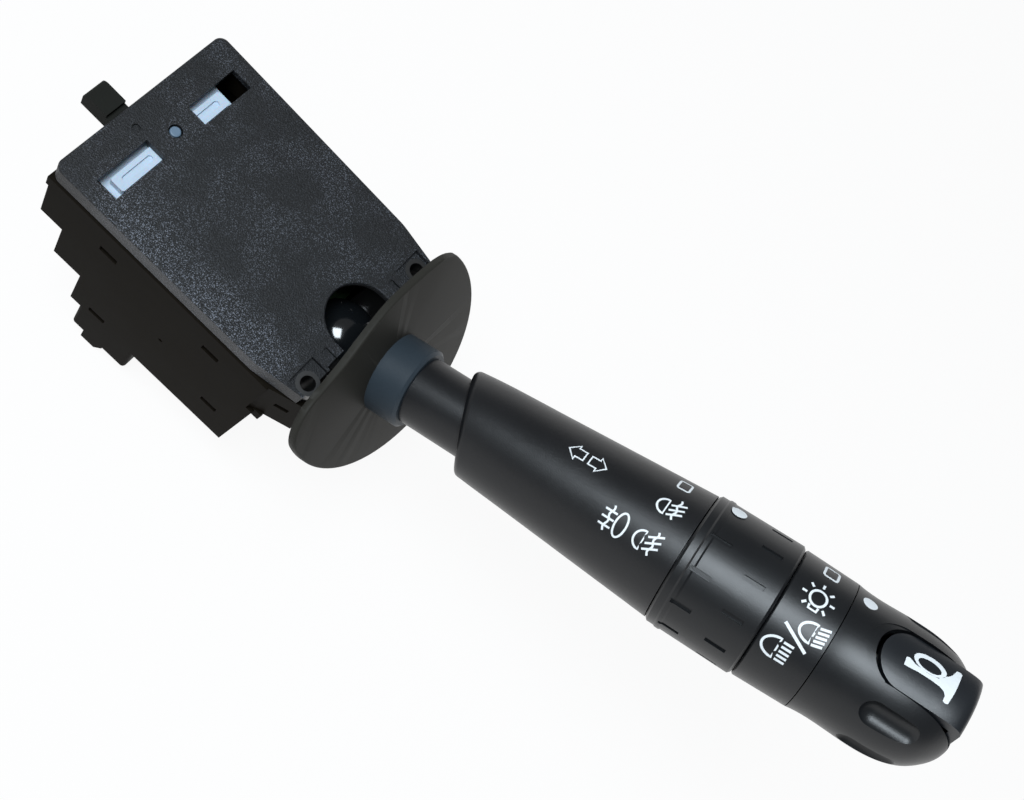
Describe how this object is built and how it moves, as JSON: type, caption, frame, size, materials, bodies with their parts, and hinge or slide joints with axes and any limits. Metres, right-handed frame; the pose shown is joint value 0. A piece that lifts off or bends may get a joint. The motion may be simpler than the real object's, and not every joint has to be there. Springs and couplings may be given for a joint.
{
  "type": "combination stalk switch",
  "caption": "Column switch: a boxed contact housing with a ball-jointed, shielded stalk that swings, pulls, carries a grooved twist ring and a turning end knob with a horn button.",
  "frame": {"origin": "midpoint between the two fixing-screw seats, in the plane of the seats", "axes": "+Z out of the cover, +X toward the stalk, +Y across the housing from one screw to the other"},
  "size_m": [0.198, 0.0612, 0.1309],
  "materials": {
    "lower_case": "smooth dark brown-black moulding",
    "cover": "coarse grained glass-filled black",
    "screw_bushes": "plated steel",
    "connector_shroud": "smooth black moulding",
    "terminal_blades": "tinned brass",
    "contact_board": "glass-filled board",
    "board_tracks": "bright copper",
    "board_screws": "zinc plated",
    "trunnion_bush": "turned brass",
    "detent_cam": "natural acetal",
    "cam_pin": "grey-white ground pin",
    "finger_spring": "spring steel",
    "cancel_slide": "milky white acetal",
    "cancel_finger": "smooth black moulding",
    "contact_carrier": "natural acetal",
    "contact_bars": "bright brass",
    "turn_yoke": "black acetal",
    "lever_pin": "ground steel",
    "lever_core": "glossy black ball",
    "shield": "satin dark warm grey",
    "hub_collar": "satin black",
    "stalk_sleeve": "fine grained black",
    "inner_tube": "drawn steel tube",
    "flex_lead": "amber film lead",
    "ring_drum": "smooth black",
    "ring_track": "bright brass",
    "symbol_band": "fine grained black",
    "detent_plunger": "natural acetal",
    "detent_spring": "spring steel",
    "fog_ring": "satin black, grooved grip",
    "ring_wiper": "bright brass",
    "end_cap": "fine grained black",
    "cap_spindle": "natural acetal",
    "horn_contact": "bright brass",
    "horn_button": "smooth satin black",
    "horn_spring": "spring steel"
  },
  "bodies": {
    "housing": {"lower_case": "lower_case", "cover": "cover", "screw_bushes": "screw_bushes", "connector_shroud": "connector_shroud", "terminal_blades": "terminal_blades", "contact_board": "contact_board", "board_tracks": "board_tracks", "board_screws": "board_screws", "trunnion_bush": "trunnion_bush", "detent_cam": "detent_cam", "cam_pin": "cam_pin", "finger_spring": "finger_spring"},
    "slide": {"cancel_slide": "cancel_slide"},
    "finger": {"cancel_finger": "cancel_finger"},
    "carrier": {"contact_carrier": "contact_carrier", "contact_bars": "contact_bars"},
    "yoke": {"turn_yoke": "turn_yoke", "lever_pin": "lever_pin"},
    "lever": {"lever_core": "lever_core", "shield": "shield", "hub_collar": "hub_collar", "stalk_sleeve": "stalk_sleeve", "inner_tube": "inner_tube", "flex_lead": "flex_lead", "ring_drum": "ring_drum", "ring_track": "ring_track", "symbol_band": "symbol_band", "detent_spring": "detent_spring"},
    "plunger": {"detent_plunger": "detent_plunger"},
    "ring": {"fog_ring": "fog_ring", "ring_wiper": "ring_wiper"},
    "cap": {"end_cap": "end_cap", "cap_spindle": "cap_spindle", "horn_contact": "horn_contact", "horn_spring": "horn_spring"},
    "horn": {"horn_button": "horn_button"}
  },
  "joints": [
    {"name": "turn_swing", "type": "hinge", "parent": "housing", "child": "yoke", "pos_m": [-0.0014, 0, -0.01387], "axis": [0, 0, 1], "range_deg": [-7, 7]},
    {"name": "lever_pull", "type": "hinge", "parent": "yoke", "child": "lever", "pos_m": [-0.0014, 0, -0.01387], "axis": [0, -1, 0], "range_deg": [0, 5], "stiffness_Nm_per_rad": 1.5, "springref_deg": -5.73},
    {"name": "detent_press", "type": "slide", "parent": "lever", "child": "plunger", "axis": [0.8816, 0.0097, 0.4719], "range_m": [0, 0.0015], "stiffness_N_per_m": 500, "springref_m": -0.002, "deforming": ["detent_spring"]},
    {"name": "fog_turn", "type": "hinge", "parent": "lever", "child": "ring", "pos_m": [0.08323, 0.00093, 0.03144], "axis": [0.8816, 0.0097, 0.4719], "range_deg": [0, 66]},
    {"name": "lights_turn", "type": "hinge", "parent": "lever", "child": "cap", "pos_m": [0.11321, 0.00126, 0.04748], "axis": [0.8816, 0.0097, 0.4719], "range_deg": [0, 66]},
    {"name": "horn_press", "type": "slide", "parent": "cap", "child": "horn", "axis": [-0.8816, -0.0097, -0.4719], "range_m": [0, 0.0007], "stiffness_N_per_m": 1200, "springref_m": -0.002, "deforming": ["horn_spring"]},
    {"name": "cancel_shift", "type": "slide", "parent": "housing", "child": "slide", "axis": [0, 1, 0], "range_m": [-0.001, 0.0032]},
    {"name": "cancel_swing", "type": "hinge", "parent": "housing", "child": "finger", "pos_m": [-0.05264, 0, -0.006], "axis": [0, 0, 1], "range_deg": [-5, 5], "stiffness_Nm_per_rad": 0.05},
    {"name": "contact_shift", "type": "slide", "parent": "housing", "child": "carrier", "axis": [0, 1, 0], "range_m": [-0.00165, 0.00165]}
  ],
  "couplings": [
    {"joint": "contact_shift", "follows": "turn_swing", "m_per_rad": -0.0133}
  ]
}
